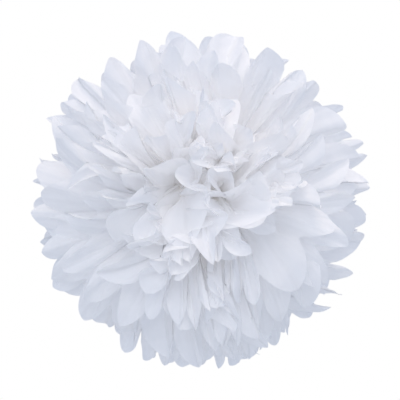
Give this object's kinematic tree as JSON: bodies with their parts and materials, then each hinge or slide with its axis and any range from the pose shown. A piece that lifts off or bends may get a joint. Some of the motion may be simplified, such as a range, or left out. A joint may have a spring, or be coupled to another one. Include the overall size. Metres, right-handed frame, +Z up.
{
  "type": "tissue paper pom-pom ball",
  "caption": "Hanging ball of pleated tissue sheets with petal-cut ends, fanned open round a wire-tied waist.",
  "frame": {"origin": "centre of the ball, at the middle of the tied waist, which is also the centre of its bounding box", "axes": "+X along the tied strip to one side, +Y along the stack of sheets to the rear flower face (the front one looks along -Y), +Z up, the way the hanging eye points"},
  "size_m": [0.2462, 0.25, 0.2448],
  "materials": {
    "tissue": "matte white tissue, 17 g per square metre, thin enough to let light through",
    "wire": "plain galvanised binding wire"
  },
  "bodies": {
    "root": {"tissue_sheet_01": "tissue", "tissue_sheet_02": "tissue", "tissue_sheet_03": "tissue", "tissue_sheet_04": "tissue", "tissue_sheet_05": "tissue", "tissue_sheet_06": "tissue", "tissue_sheet_07": "tissue", "tissue_sheet_08": "tissue", "tissue_sheet_09": "tissue", "tissue_sheet_10": "tissue", "tissue_sheet_11": "tissue", "tissue_sheet_12": "tissue", "tie_wire": "wire"}
  },
  "joints": []
}
